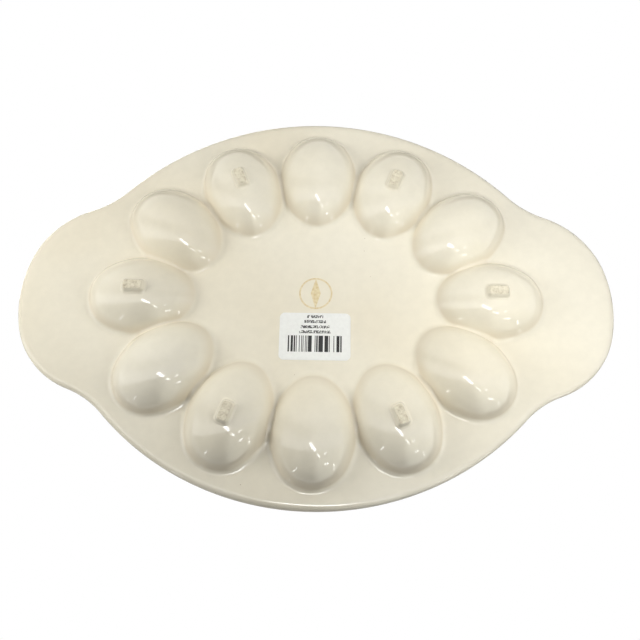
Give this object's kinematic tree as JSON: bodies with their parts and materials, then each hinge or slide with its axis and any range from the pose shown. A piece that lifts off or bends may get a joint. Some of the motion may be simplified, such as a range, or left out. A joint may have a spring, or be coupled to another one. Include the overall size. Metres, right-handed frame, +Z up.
{
  "type": "deviled egg platter",
  "caption": "Oval glazed ceramic platter with a handle lobe at each end, a ring of egg-shaped wells and a flat middle, on small feet.",
  "frame": {"origin": "middle of the plane that the six feet stand on, under the middle of the platter", "axes": "+Z up, out of the wells; +X along the platter, from handle to handle; +Y across it, towards the side whose underside carries the paper label"},
  "size_m": [0.358, 0.246, 0.0244],
  "materials": {
    "glaze": "gloss",
    "label_paper": "satin",
    "gilt": "satin"
  },
  "bodies": {
    "root": {"deck": "glaze", "egg_well_1": "glaze", "egg_well_2": "glaze", "egg_well_3": "glaze", "egg_well_4": "glaze", "egg_well_5": "glaze", "egg_well_6": "glaze", "egg_well_7": "glaze", "egg_well_8": "glaze", "egg_well_9": "glaze", "egg_well_10": "glaze", "egg_well_11": "glaze", "egg_well_12": "glaze", "foot_1": "glaze", "foot_2": "glaze", "foot_3": "glaze", "foot_4": "glaze", "foot_5": "glaze", "foot_6": "glaze", "paper_label": "label_paper", "gilt_mark": "gilt"}
  },
  "joints": []
}
